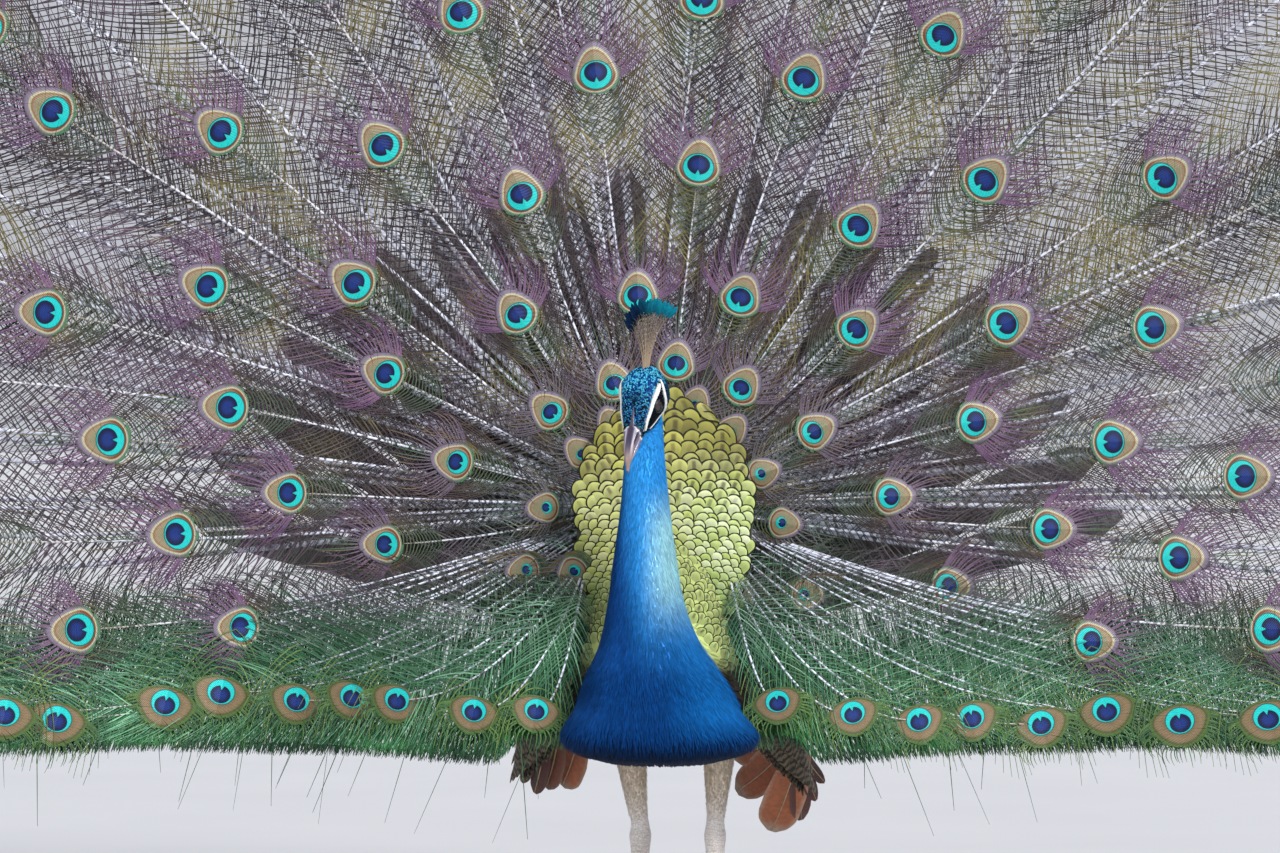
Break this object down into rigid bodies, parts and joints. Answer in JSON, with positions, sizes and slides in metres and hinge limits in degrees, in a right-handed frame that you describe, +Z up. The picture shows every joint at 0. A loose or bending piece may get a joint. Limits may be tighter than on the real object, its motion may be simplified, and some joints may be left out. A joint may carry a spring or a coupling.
{
  "type": "peacock",
  "caption": "Life-size Indian peacock model standing in display, train fanned upright behind the body and curved forward, wings drooped, bill lowered.",
  "frame": {"origin": "floor level, under the middle of the whole bird's bounding box", "axes": "+Z up, the bird faces -Y, its own left side is +X"},
  "size_m": [2.3148, 0.3924, 1.4793],
  "materials": {
    "blue_plumage": "satin",
    "body_plumage": "satin",
    "thigh_plumage": "matte",
    "scale_feathers": "satin",
    "crest_feathers": "satin",
    "bill_horn": "satin",
    "eye_gloss": "gloss",
    "leg_scutes": "satin",
    "wing_coverts": "matte",
    "primary_feathers": "matte",
    "train_feathers": "satin",
    "train_fringe": "satin",
    "tail_feathers": "matte",
    "tail_down": "matte"
  },
  "bodies": {
    "root": {"head": "blue_plumage", "neck": "blue_plumage", "breast": "blue_plumage", "trunk": "body_plumage", "thigh_left": "thigh_plumage", "thigh_right": "thigh_plumage", "back_shield": "scale_feathers", "crest": "crest_feathers", "bill_upper": "bill_horn", "bill_lower": "bill_horn", "eye_left": "eye_gloss", "eye_right": "eye_gloss", "shank_left": "leg_scutes", "shank_right": "leg_scutes", "foot_left": "leg_scutes", "foot_right": "leg_scutes", "wing_left": "wing_coverts", "wing_right": "wing_coverts", "primaries_left": "primary_feathers", "primaries_right": "primary_feathers", "train_1": "train_feathers", "train_2": "train_feathers", "train_3": "train_feathers", "train_4": "train_feathers", "train_5": "train_feathers", "train_6": "train_feathers", "train_7": "train_feathers", "train_8": "train_feathers", "train_9": "train_feathers", "hem_left_inner": "train_fringe", "hem_left_outer": "train_fringe", "hem_right_inner": "train_fringe", "hem_right_outer": "train_fringe", "tail_1": "tail_feathers", "tail_2": "tail_feathers", "tail_3": "tail_feathers", "tail_4": "tail_feathers", "undertail": "tail_down"}
  },
  "joints": []
}
